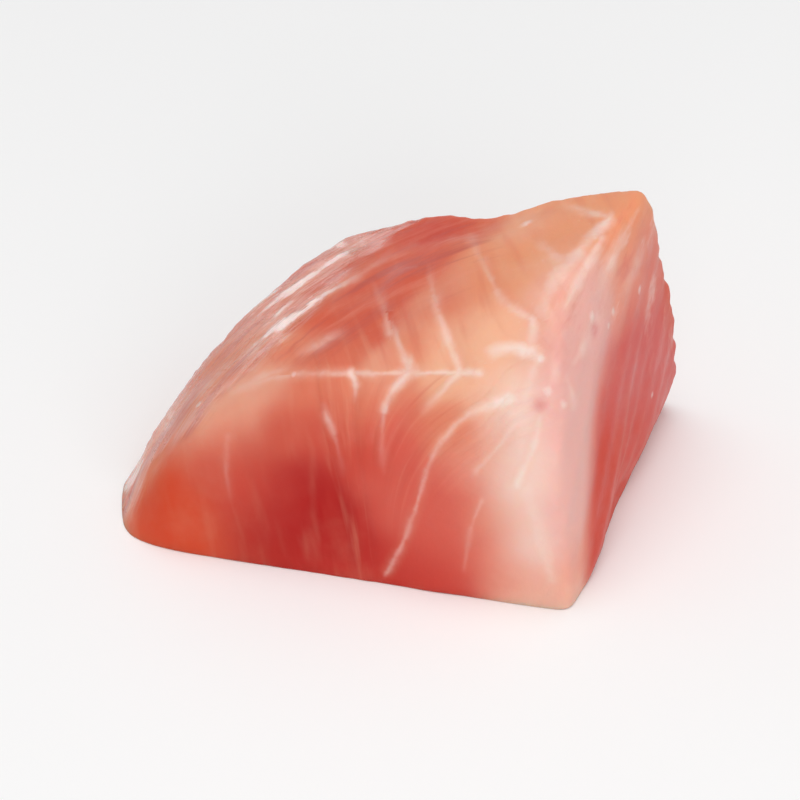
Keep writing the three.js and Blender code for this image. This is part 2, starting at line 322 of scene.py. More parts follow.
ZONES = [  # colour, place in mm, radius, strength
    # the top
    ("apricot", (22.5, 4.7, 31.5), 4.5, 1.2),
    ("apricot", (17.3, 3.0, 29.9), 4.5, 1.3),
    ("apricot", (12.6, -2.9, 28.9), 4.2, 1.3),
    ("apricot", (13.4, 8.0, 28.6), 5, 1.0),
    ("light_peach", (11.3, -10.2, 26.5), 3.4, 1.6),
    ("light_peach", (5.5, -9.3, 24.7), 2.6, 1.4),
    ("light_peach", (16.5, -3.5, 29.3), 2.4, 0.9),
    ("front_peach", (16.1, -8.3, 29.6), 2.6, 1.4),
    ("crest_peach", (14.0, 6.0, 28.4), 2.4, 1.8),
    ("salmon", (5.8, -3.4, 26.5), 3.4, 1.4),
    ("coral", (-1.9, 2.7, 22.3), 4, 1.3),
    ("coral", (1.9, 7.0, 23.8), 4, 1.3),
    ("coral", (-3.8, -0.8, 21.8), 3.4, 1.3),
    ("coral", (-5.5, -4.1, 21.1), 2.6, 1.0),
    ("coral", (5.5, 12.0, 25.0), 3.5, 1.0),
    # painted shadow: redder along the back edge, where a neighbouring chunk shaded it
    ("red", (3.5, 12.6, 23.4), 3.0, 1.4),
    ("coral", (9.0, 9.8, 26.0), 2.4, 1.6),
    ("shade_red_low", (5.3, 11.8, 24.4), 2.4, 3.4),
    # the membrane side
    ("film_tan", (-15.3, 4.5, 15.2), 4, 1.4),
    ("film_pink", (-9.2, 8.2, 18.6), 4, 1.4),
    ("film_pink", (-3.8, 14.3, 20.2), 4, 1.4),
    ("film_tan", (-20.1, -1.2, 11.7), 3, 1.2),
    ("film_pink", (-26.5, 1.0, 1.5), 3, 1.2),
    ("film_pink", (-14, 13, 7), 8, 1.0),
    # the tip and the left of the crest
    ("salmon", (-27.2, -2.7, 0.8), 2.4, 1.2),
    ("salmon", (-25.2, 1.6, 4.6), 2.2, 1.2),
    ("crest_peach", (-12.4, -6.3, 17.4), 2.6, 1.2),
    ("crest_peach", (-15.8, -7.8, 14.8), 2.6, 1.4),
    ("crest_peach", (-19.1, -6.5, 13.2), 2.6, 1.3),
    ("crest_salmon", (-21.0, -6.7, 10.9), 2.6, 1.2),
    ("crest_salmon", (-8.4, -7.9, 18.9), 2.4, 1.2),
    ("crest_salmon", (-5.2, -5.5, 21.1), 2.2, 1.0),
    ("tip_orange", (-23.9, -4.5, 7.0), 2.4, 2.6),
    ("orange", (-22.6, -8.9, 6.3), 3.4, 1.8),
    ("orange", (-21, -10.5, 2), 4, 1.1),
    # the wide front cut
    ("crest_coral", (-18.9, -9.8, 9.7), 2.6, 1.2),
    ("crest_coral", (-15.8, -9.7, 12.6), 2.6, 1.3),
    ("crest_coral", (-10.6, -10.3, 15.4), 2.6, 1.2),
    ("crest_coral", (-5.2, -11.4, 16.5), 2.4, 1.2),
    ("red", (-14.5, -11.2, 8.5), 3.4, 1.2),
    # painted shade: deep red in the hollow low on the front, where a neighbouring chunk shaded it
    ("shade_red_deep", (-7.2, -12.8, 7.0), 3.8, 3.2),
    ("shade_red_deep", (-4.2, -13.9, 4.8), 3.2, 1.1),
    ("shade_red_deep", (-11.5, -13.0, 3), 5, 1.1),
    ("red", (-3.6, -12.8, 14.1), 3.2, 1.3),
    ("rosy_red", (0.7, -12.9, 17), 3.0, 1.3),
    ("salmon", (0.5, -10.8, 20.5), 2.6, 1.1),
    ("rosy_red", (6.5, -17.0, 6.9), 4.2, 1.5),
    ("rosy_red", (4.5, -15.6, 12.5), 3.2, 1.0),
    ("blush", (7.8, -16.1, 15.0), 2.8, 1.4),
    ("blush", (10.4, -17.9, 8.4), 2.9, 1.5),
    ("blush", (12.2, -18.8, 3.7), 3.0, 1.6),
    ("front_peach", (12.0, -18.4, 10.2), 2.2, 1.6),
    ("front_peach", (10.4, -16.7, 15.2), 2.2, 1.4),
    ("front_peach", (10.0, -15.1, 18.4), 2.0, 1.2),
    ("light_peach", (5.3, -11.6, 21.8), 2.2, 1.3),
    ("salmon", (5.3, -14.1, 18.2), 2.4, 2.4),
    ("salmon", (2.5, -8.6, 23.8), 2.0, 1.2),
    ("salmon", (-9.0, -2.5, 19.7), 2.2, 1.2),
    ("crest_peach", (-0.4, -9.8, 21.3), 1.9, 1.6),
    ("pink", (16.6, -19.4, 10.5), 2.2, 1.4),
    ("salmon", (8.0, -15.0, 17.6), 1.8, 0.9),
    ("salmon", (-3.2, -10.7, 18.5), 2.4, 1.3),
    # painted contact shadow: darker red along the foot of the front
    ("shade_red_low", (3.5, -17.0, 1.2), 4.0, 1.6),
    ("shade_red_low", (-3.0, -14.8, 2.5), 3.6, 1.4),
    ("shade_red_deep", (-3.3, -14.7, 3.0), 2.2, 2.4),
    ("shade_red_low", (-0.5, -15.9, 0.8), 2.2, 2.0),
    ("shade_red_deep", (-0.5, -15.9, 0.4), 2.0, 0.8),
    ("rosy_red", (0.0, -14.9, 7.6), 2.4, 1.2),
    ("rosy_red", (-2.4, -13.9, 10.8), 2.0, 0.8),
    ("light_peach", (9.7, -13.0, 22.0), 2.6, 1.4),
    # pale cream along the front-right edge: partly the flesh's own colour, partly a painted highlight
    ("cream", (12.5, -14.4, 21.0), 2.8, 1.9),
    ("cream", (13.1, -17.8, 14.7), 2.8, 2.2),
    ("cream", (14.2, -19.2, 6.9), 2.8, 2.0),
    ("cream", (13.8, -19.0, 10.4), 2.2, 1.4),
    ("front_peach", (14.0, -19.6, 1.5), 2.8, 1.5),
    # the narrow right cut
    ("pink", (19.6, -6.4, 28.6), 3.4, 1.5),
    ("pink", (17.6, -11.0, 25.8), 3.4, 1.6),
    ("pink", (17.2, -14.4, 21.0), 3.0, 1.6),
    ("pink", (18.0, -17.3, 14.3), 3.0, 1.7),
    ("pink", (18.2, -19.2, 7.1), 2.6, 1.0),
    ("blush", (18.6, -19.0, 5.0), 2.8, 1.2),
    ("front_peach", (17.0, -19.9, 1.5), 2.4, 1.4),
    ("blush", (24.0, 1.0, 27.0), 3.6, 1.2),
    # painted shade: rose on the part of the right cut behind the fold, which turns away from the light
    ("shoulder_rose", (26.0, 4.4, 26.5), 2.6, 1.6),
    ("shoulder_rose", (26.0, 4.0, 22.0), 3.0, 2.0),
    ("rose", (26.2, 3.2, 16.0), 3.4, 2.0),
    ("rosy_spot", (14.8, -14.9, 21.3), 0.6, 1.7),
    ("rosy_spot", (20.3, -7.4, 25.2), 0.6, 1.2),
    # the back and the underside
    ("salmon", (8, 18, 20), 6, 1.0),
    ("rosy_red", (8, 19, 8), 7, 1.0),
    ("coral", (22, 14, 12), 6, 1.0),
    ("rosy_red", (2, 0, 0), 12, 0.8),
    ("salmon", (-16, -2, 0), 8, 0.6),
]


def lean_height(p):
    """Height square to the lean of the septa."""
    return p[:, 1] * math.sin(LEAN) + p[:, 2] * math.cos(LEAN)


# The upper left outline is close to an arc in X and lean height. The outer membrane
# runs along it, in a band whose width changes with X.
ARC_MIDDLE = np.array([22.5, -20.7])
ARC_RADIUS = 53.35
BAND_X = [-27.5, -24, -20, -15.5, -11, -8, -4, 0, 5]
BAND_WIDTH = [0.9, 1.3, 2.8, 4.2, 5.1, 4.6, 3.2, 1.9, 0.2]
BAND_SILVER = [0.35, 0.3, 0.2, 0.5, 1.0, 0.8, 0.45, 0.2, 0.0]


def along_arc(p):
    """Distance inwards from the arc, and distance along it."""
    q = np.stack([p[:, 0], lean_height(p)], 1) - ARC_MIDDLE
    inwards = ARC_RADIUS - np.linalg.norm(q, axis=1)
    return inwards, ARC_RADIUS * np.arctan2(q[:, 1], -q[:, 0])


def membrane(p, seen, share):
    """1 on the silvery outer membrane, 0 on the cut flesh."""
    inwards, _ = along_arc(p)
    width = np.interp(p[:, 0], BAND_X, BAND_WIDTH) + 0.35 * wander(p, 5.0, 2.2)
    front = (1 - smooth(-0.5, 0.7, inwards - width)) * smooth(0.1, 0.8, width)
    behind = smooth(0.3, 0.7, share[:, NAMES.index("membrane_side")])
    return np.maximum(front * seen, behind)


def tint(p, share):
    total = np.zeros((len(p), 3))
    weight = np.zeros(len(p))
    for name, at, radius, strength in ZONES:
        away = np.linalg.norm(p - np.array(at), axis=1) / radius
        w = strength * np.exp(-away * away) + 1e-6 / (1 + away**4)
        total += w[:, None] * PALETTE[name]
        weight += w
    made = total / weight[:, None]
    # Painted shade: the part of the right cut behind the fold turns away from the light, so it is
    # painted rosier, and redder towards its foot.
    rise = lean_height(p)
    start = np.interp(rise, [-4, 4, 14, 22], [18.9, 19.2, 19.8, 22.0])
    soft = np.interp(rise, [-4, 4, 14, 22], [1.8, 2.2, 3.6, 5.0])
    fold = smooth(0, 1, (p[:, 0] - start) / soft) * smooth(0.15, 0.5, right_share(share))
    fold = fold * (1 - smooth(12.5, 22.0, rise))
    foot = 1 - smooth(2.0, 13.0, rise)
    shaded_fold_colour = PALETTE["rose"] + foot[:, None] * (PALETTE["fold_shade_red"] - PALETTE["rose"])
    return made + fold[:, None] * (shaded_fold_colour - made)


# Septa that show on the top, the front and the right, drawn as bent lines. Each has
# its start, bend and end in X and lean height, a layer (lines of one layer keep apart),
# and its strengths and half widths from start to end.
LINES = {
    "long_septum_top": ((12.0, 9.5), (9.8, 8.8), (7.7, 7.9), 0, (1.0, 0.8, 0.65), (0.9, 0.42, 0.3)),
    "long_septum_upper": ((8.2, 8.2), (4.8, 6.1), (3.5, 1.7), 1, (0.55, 0.3), (0.3, 0.22)),
    "long_septum_lower": ((3.5, 1.7), (2.1, -4.0), (-0.2, -7.9), 0, (0.36, 0.3, 0.42), (0.24, 0.24)),
    "second_septum_upper": ((4.0, 22.7), (4.3, 18.7), (7.0, 12.3), 0, (0.05, 0.35, 0.7), (0.36, 0.28, 0.42)),
    "second_node": ((6.1, 12.1), (7.0, 12.35), (8.9, 12.1), 2, (0.3, 0.9), (0.3, 0.36)),
    "second_septum_lower": ((7.0, 12.2), (5.5, 10.6), (3.4, 8.3), 3, (0.8, 0.5, 0.1), (0.4, 0.28)),
    "first_septum_upper": ((0.3, 16.9), (1.0, 14.8), (2.0, 12.5), 0, (0.2, 0.4, 0.95), (0.22, 0.3, 0.6)),
    "first_node": ((0.9, 12.0), (2.0, 12.5), (3.4, 12.0), 2, (0.3, 0.9, 0.4), (0.45, 0.75, 0.35)),
    "first_septum_lower": ((2.0, 12.0), (0.1, 10.6), (-0.5, 8.3), 3, (0.9, 0.6), (0.5, 0.26)),
    "first_septum_foot": ((-0.5, 8.5), (-0.9, 5.8), (-0.5, 2.4), 2, (0.3, 0.05), (0.24, 0.24)),
    "short_septum": ((-3.9, 12.1), (-3.2, 11.1), (-3.4, 9.5), 0, (0.8, 0.7, 0.1), (0.45, 0.3, 0.2)),
    "left_septum": ((-6.5, 8.8), (-6.1, 7.8), (-5.5, 6.1), 0, (0.1, 0.45, 0.3), (0.3, 0.24)),
    "left_septum_foot": ((-5.6, 6.3), (-4.8, 3.8), (-4.5, 1.5), 2, (0.2, 0.0), (0.24, 0.24)),
    "far_left_septum": ((-16.2, 5.7), (-16.6, 2.0), (-15.9, -1.1), 0, (0.12, 0.12, 0.0), (0.35, 0.35)),
    "level_line": ((-9.5, 12.0), (-4.0, 12.1), (8.7, 12.1), 1, (0.3, 0.75), (0.3, 0.26)),
    "level_line_left": ((-15.8, 10.3), (-13.1, 11.4), (-9.5, 12.0), 1, (0.15, 0.3), (0.5, 0.3)),
    "third_septum": ((8.2, 26.0), (9.7, 22.3), (11.0, 19.4), 0, (0.12, 0.3), (0.45, 0.34)),
    "third_septum_low": ((11.0, 19.5), (12.5, 18.1), (14.0, 17.3), 4, (0.28, 0.5), (0.34, 0.38)),
    "third_septum_end": ((14.0, 17.3), (14.3, 16.2), (13.9, 14.9), 1, (0.75, 0.35), (0.42, 0.34)),
    "blotch": ((10.1, 14.0), (11.6, 15.0), (13.4, 14.2), 2, (0.55, 0.8, 1.0), (0.55, 0.5, 0.65)),
    "blotch_end": ((13.4, 14.2), (14.3, 14.3), (14.8, 13.4), 3, (0.9, 0.95), (0.55, 0.6)),
    "blotch_tail": ((14.8, 13.4), (13.9, 11.9), (13.4, 9.3), 5, (0.6, 0.25), (0.4, 0.5)),
    "fourth_septum": ((14.9, 25.2), (16.1, 23.9), (17.7, 23.0), 4, (0.1, 0.35, 0.25), (0.5, 0.6)),
    "arrow_top": ((17.8, 29.1), (19.7, 28.5), (22.0, 27.6), 0, (0.1, 0.3, 0.6), (0.35, 0.4)),
    "arrow_1": ((22.0, 27.6), (18.9, 24.2), (16.9, 21.9), 1, (0.8, 0.4), (0.42, 0.7)),
    "arrow_1_low": ((16.9, 21.9), (15.4, 20.5), (15.1, 17.6), 2, (0.5, 0.3), (0.75, 0.8)),
    "arrow_2": ((21.2, 25.6), (19.5, 22.6), (17.5, 18.8), 3, (0.55, 0.5), (0.4, 0.45)),
    "arrow_3": ((23.8, 26.5), (22.2, 23.8), (20.9, 19.9), 4, (0.1, 0.45, 0.15), (0.45, 0.4)),
    "arrow_4": ((26.1, 25.6), (24.9, 23.3), (23.6, 19.9), 0, (0.05, 0.3, 0.05), (0.45, 0.4)),
    "streak_5": ((19.4, 15.8), (19.5, 14.4), (18.4, 13.2), 5, (0.15, 0.55, 0.2), (0.34, 0.36)),
    "streak_6": ((16.2, 13.5), (16.5, 11.9), (16.3, 10.9), 0, (0.1, 0.4, 0.1), (0.4, 0.4)),
    "streak_7": ((17.5, 11.6), (18.1, 10.0), (18.2, 8.7), 4, (0.1, 0.35, 0.2), (0.36, 0.3)),
    "corner_line": ((14.8, 7.5), (14.3, 4.2), (12.5, 1.0), 1, (0.45, 0.85), (0.24, 0.36)),
    "corner_line_2": ((12.2, 6.7), (10.5, 4.2), (8.6, 2.4), 2, (0.3, 0.35), (0.26, 0.22)),
    "corner_foot": ((13.5, 0.6), (14.5, -3.2), (16.2, -8.5), 2, (0.3, 0.4), (0.6, 0.8)),
    "front_line": ((9.1, -0.7), (7.9, -3.3), (7.5, -7.3), 1, (0.22, 0.1), (0.26, 0.2)),
    "slope_streak": ((-9.5, 13.7), (-6.6, 15.1), (-4.4, 16.5), 2, (0.0, 0.45, 0.05), (0.4, 0.32)),
    "slope_streak_2": ((-14.4, 10.9), (-12.5, 12.1), (-10.3, 12.6), 2, (0.1, 0.35, 0.1), (0.4, 0.36)),
    "upper_left_septum": ((0.1, 16.1), (-0.4, 18.8), (-1.6, 21.1), 0, (0.35, 0.05), (0.3, 0.3)),
    # bright folds of the outer membrane: pale strands with painted glints
    "film_1": ((-14.7, 17.7), (-13.2, 19.5), (-11.6, 20.5), 3, (0.2, 1.0, 0.7), (0.3, 0.42, 0.34)),
    "film_2": ((-16.1, 15.0), (-13.0, 19.1), (-9.1, 21.3), 4, (0.1, 0.5, 0.9), (0.3, 0.42)),
    "film_2_top": ((-9.3, 21.2), (-5.8, 23.7), (-2.1, 26.4), 5, (1.0, 0.75, 0.9, 0.25), (0.36, 0.25, 0.3)),
    "film_3": ((-13.1, 16.3), (-11.6, 18.5), (-9.2, 19.9), 1, (0.1, 0.6, 0.3), (0.3, 0.34)),
    "film_4": ((-15.5, 13.3), (-13.1, 15.8), (-10.4, 17.3), 0, (0.1, 0.6, 1.0), (0.22, 0.38)),
    "film_4_top": ((-10.8, 17.0), (-8.2, 19.1), (-3.9, 21.7), 2, (1.0, 0.7, 0.9, 0.35), (0.34, 0.24)),
    "film_4_end": ((-3.9, 21.7), (-0.8, 23.6), (2.8, 25.3), 3, (0.35, 0.15, 0.05), (0.34, 0.4)),
    "film_5": ((-14.7, 13.1), (-13.2, 14.5), (-11.7, 14.9), 3, (0.05, 0.4, 0.1), (0.3, 0.3)),
    "film_glint": ((-11.5, 15.2), (-10.6, 15.7), (-9.6, 16.0), 5, (0.2, 0.75, 0.1), (0.36, 0.34)),
    "film_6": ((-20.7, 8.9), (-18.2, 11.1), (-16.0, 13.6), 1, (0.1, 0.35, 0.1), (0.4, 0.3)),
    "film_7": ((-22.5, 7.5), (-21.5, 9.2), (-19.8, 11.1), 3, (0.5, 0.3, 0.1), (0.4, 0.3)),
    "film_9": ((-7.3, 24.4), (-4.9, 26.0), (-3.0, 26.6), 4, (0.2, 0.6, 0.3), (0.6, 0.6)),
    # painted highlights along the glossy tip
    "tip_glint": ((-25.1, 4.4), (-26.3, 2.3), (-27.0, 0.1), 0, (0.4, 1.0, 0.7), (0.3, 0.6, 0.42)),
    "tip_glint_2": ((-21.8, 8.5), (-22.6, 6.9), (-24.2, 5.2), 4, (0.1, 0.45, 0.15), (0.3, 0.4, 0.3)),
    "tip_low": ((-27.0, 0.1), (-26.9, -1.7), (-26.1, -3.2), 1, (0.3, 0.0), (0.32, 0.3)),
}
# Flakes that overlap: painted shade darkens the flesh just to the right of these lines, where each flake
# steps down.
STEP_SHADE_LINES = {
    "third_septum": 1.0,
    "third_septum_low": 1.0,
    "second_septum_upper": 0.6,
    "fourth_septum": 0.6,
}
LINE_REACH = 1.5
LAYERS = 6
LINE_STEPS = 24
# Painted glints: small white spots, with their radius.
PAINTED_GLINTS = [
    ((20.2, -7.0, 26.5), 0.6),
    ((22.4, -3.3, 24.6), 0.5),
    ((21.9, -4.7, 23.8), 0.4),
    ((15.6, -14.2, 22.5), 0.6),
    ((17.2, -14.4, 21.0), 0.55),
    ((13.8, 7.1, 28.2), 0.8),
    ((25.3, 2.3, 23.4), 0.45),
    ((26.9, 4.7, 8.8), 0.45),
    ((14.2, -9.9, 27.5), 0.6),
    ((13.3, -11.3, 25.8), 0.6),
    ((-19.3, -2.6, 12.7), 0.5),
    ((-9.5, -6.2, 18.9), 0.45),
]


def near_lines(p, seen):
    """Signed distance, strength and half width of the nearest line, in each layer."""
    at = np.stack([p[:, 0], lean_height(p)], 1)
    layers = np.zeros((LAYERS, len(p), 3))
    layers[:, :, 0] = LINE_REACH
    layers[:, :, 2] = 0.3
    step_dip_and_shade = np.zeros(len(p))
    for name, (start, bend, end, layer, strengths, widths) in LINES.items():
        knots = np.array([start, bend, end])
        near = np.all(
            (at > knots.min(0) - LINE_REACH) & (at < knots.max(0) + LINE_REACH), axis=1
        )
        near = np.nonzero(near & (seen > 0))[0]
        t = np.linspace(0, 1, LINE_STEPS + 1)[:, None]
        bent = (1 - t) ** 2 * knots[0] + 2 * t * (1 - t) * knots[1] + t * t * knots[2]
        best = np.full(len(near), 1e9)
        signed = np.zeros(len(near))
        share = np.zeros(len(near))
        past = np.zeros(len(near))
        for i in range(LINE_STEPS):
            a, step = bent[i], bent[i + 1] - bent[i]
            rel = at[near] - a
            u = rel @ step / (step @ step)
            on = np.clip(u, 0, 1)
            far = np.linalg.norm(rel - on[:, None] * step, axis=1)
            closer = far < best
            best = np.where(closer, far, best)
            length = np.linalg.norm(step)
            aside = (step[0] * rel[:, 1] - step[1] * rel[:, 0]) / length
            at_end = ((i == 0) & (u < 0)) | ((i == LINE_STEPS - 1) & (u > 1))
            signed = np.where(
                closer, np.where(at_end, aside, far * np.sign(aside)), signed
            )
            past = np.where(closer, np.where(at_end, np.abs(u - on) * length, 0), past)
            share = np.where(closer, (i + on) / LINE_STEPS, share)
        strength = np.interp(share, np.linspace(0, 1, len(strengths)), strengths)
        strength = strength * (1 - smooth(0.7, 1.15, best)) * seen[near]
        strength = strength * np.exp(-((past / 0.4) ** 2))
        width = np.interp(share, np.linspace(0, 1, len(widths)), widths)
        if name in STEP_SHADE_LINES:
            right = smooth(-0.5, 0.6, signed)
            step_dip_and_shade[near] = np.maximum(
                step_dip_and_shade[near], STEP_SHADE_LINES[name] * right * np.exp(-best / 0.9) * seen[near]
            )
        closer = best < np.abs(layers[layer, near, 0])
        near, best = near[closer], best[closer]
        layers[layer, near, 0] = signed[closer]
        layers[layer, near, 1] = strength[closer]
        layers[layer, near, 2] = width[closer]
    glint_spot = np.zeros(len(p))
    for place, radius in PAINTED_GLINTS:
        far = np.linalg.norm(p - np.array(place), axis=1) / radius
        glint_spot = np.maximum(glint_spot, np.exp(-(far**2)))
    return layers, step_dip_and_shade, glint_spot


def outward_normals(p, quads):
    q = np.array(quads)
    n = np.cross(p[q[:, 2]] - p[q[:, 0]], p[q[:, 3]] - p[q[:, 1]])
    out = np.zeros_like(p)
    for i in range(4):
        np.add.at(out, q[:, i], n)
    return out / np.linalg.norm(out, axis=1)[:, None]


# The streaks of the right cut spread from its top corner.
STREAK_FOCUS = np.array([31.5, 42.0])


def build_chunk():
    d, quads = cube_sphere(120)
    p, share = chunk_points(d)
    mesh = bpy.data.meshes.new("chunk_flesh")
    mesh.from_pydata(((p - MIDDLE) * MM).tolist(), [], quads)
    mesh.update()
    mesh.polygons.foreach_set("use_smooth", [True] * len(mesh.polygons))

    # The sides that face up and forward carry the drawn lines, the others plain septa.
    lean_out = np.array([0, -math.cos(LEAN), math.sin(LEAN)])
    seen = smooth(0.0, 0.12, outward_normals(p, quads) @ lean_out)
    s, drop, pitch = flake(p)
    on_right = smooth(0.15, 0.6, right_share(share))
    fibres = smooth(0.5, 3.5, pitch) * (1 - on_right) * (0.35 + 0.65 * smooth(-14, -6, p[:, 0]))
    fibres = fibres * (1 - smooth(6, 10, p[:, 0]) * smooth(-1.0, 1.0, drop))
    hidden = (1 - seen) * smooth(1.0, 2.4, pitch) * (1 - 0.85 * on_right)
    layers, step_dip_and_shade, glint_spot = near_lines(p, seen)
    inwards, run = along_arc(p)
    spread = np.stack([p[:, 0], lean_height(p)], 1) - STREAK_FOCUS
    shoulder = share[:, NAMES.index("shoulder")] + right_share(share)

    def scalar(name, values):
        a = mesh.attributes.new(name, "FLOAT", "POINT")
        a.data.foreach_set("value", np.asarray(values, np.float32))

    def triple(name, values):
        a = mesh.attributes.new(name, "FLOAT_VECTOR", "POINT")
        a.data.foreach_set("vector", np.asarray(values, np.float32).ravel())

    scalar("flake", s)
    scalar("drop", drop)
    scalar("pitch", pitch)
    scalar("fibres", fibres)
    scalar("hidden_septa", hidden * 0.5)
    scalar("on_right", on_right)
    scalar("band", membrane(p, seen, share))
    scalar("step_dip_and_shade", step_dip_and_shade)
    scalar("glint_spot", glint_spot)
    scalar("lean_rise", lean_height(p))
    scalar("lean_depth", p[:, 1] * math.cos(LEAN) - p[:, 2] * math.sin(LEAN))
    scalar("film_reach", 1 - smooth(7.5, 12.5, p[:, 0]))
    scalar("shoulder", smooth(0.3, 0.8, shoulder))
    silver = np.interp(p[:, 0], BAND_X, BAND_SILVER)
    triple("arc", np.stack([inwards, run, np.where(seen > 0.5, silver, 0.4)], 1))
    triple(
        "spread",
        np.stack(
            [
                np.arctan2(-spread[:, 1], -spread[:, 0]),
                np.linalg.norm(spread, axis=1),
                p[:, 1],
            ],
            1,
        ),
    )
    for i in range(LAYERS):
        triple(f"line_{i}", layers[i])
    c = mesh.color_attributes.new("tint", "FLOAT_COLOR", "POINT")
    rgba = np.ones((len(p), 4), np.float32)
    rgba[:, :3] = tint(p, share)
    c.data.foreach_set("color", rgba.ravel())
    piece = bpy.data.objects.new("chunk_flesh", mesh)
    bpy.context.scene.collection.objects.link(piece)
    return piece


# ---------------------------------------------------------------------------
# Materials
# ---------------------------------------------------------------------------
class Nodes:
    def __init__(self, name):
        self.material = bpy.data.materials.new(name)
        self.material.use_nodes = True
        self.tree = self.material.node_tree
        self.tree.nodes.clear()

    def add(self, kind, **settings):
        n = self.tree.nodes.new(kind)
        for key, value in settings.items():
            setattr(n, key, value)
        return n

    def link(self, a, b):
        self.tree.links.new(a, b)

    def put(self, socket, value):
        if isinstance(value, bpy.types.NodeSocket):
            self.link(value, socket)
        else:
            socket.default_value = value

    def math(self, op, a, b=0.0, c=0.0, clamp=False):
        n = self.add("ShaderNodeMath", operation=op, use_clamp=clamp)
        for i, v in enumerate((a, b, c)):
            self.put(n.inputs[i], v)
        return n.outputs[0]

    def attribute(self, name, out="Fac"):
        return self.add("ShaderNodeAttribute", attribute_name=name).outputs[out]

    def ramp(self, x, low, high, to_low=0.0, to_high=1.0, smooth_step=True):
        n = self.add("ShaderNodeMapRange")
        n.interpolation_type = "SMOOTHSTEP" if smooth_step else "LINEAR"
        self.put(n.inputs["Value"], x)
        self.put(n.inputs["From Min"], low)
        self.put(n.inputs["From Max"], high)
        self.put(n.inputs["To Min"], to_low)
        self.put(n.inputs["To Max"], to_high)
        return n.outputs["Result"]

    def noise(self, vector, scale, detail=3.0, rough=0.5, distortion=0.0):
        n = self.add("ShaderNodeTexNoise")
        self.link(vector, n.inputs["Vector"])
        n.inputs["Scale"].default_value = scale
        n.inputs["Detail"].default_value = detail
        n.inputs["Roughness"].default_value = rough
        n.inputs["Distortion"].default_value = distortion
        return n.outputs["Fac"]

    def vector(self, x, y, z):
        n = self.add("ShaderNodeCombineXYZ")
        for i, v in enumerate((x, y, z)):
            self.put(n.inputs[i], v)
        return n.outputs[0]

    def mix(self, fac, a, b, blend="MIX"):
        n = self.add("ShaderNodeMix", data_type="RGBA", blend_type=blend)
        self.put(n.inputs[0], fac)
        self.put(n.inputs[6], a)
        self.put(n.inputs[7], b)
        return n.outputs[2]


def colour(name):
    return (*[float(v) for v in PALETTE[name]], 1.0)


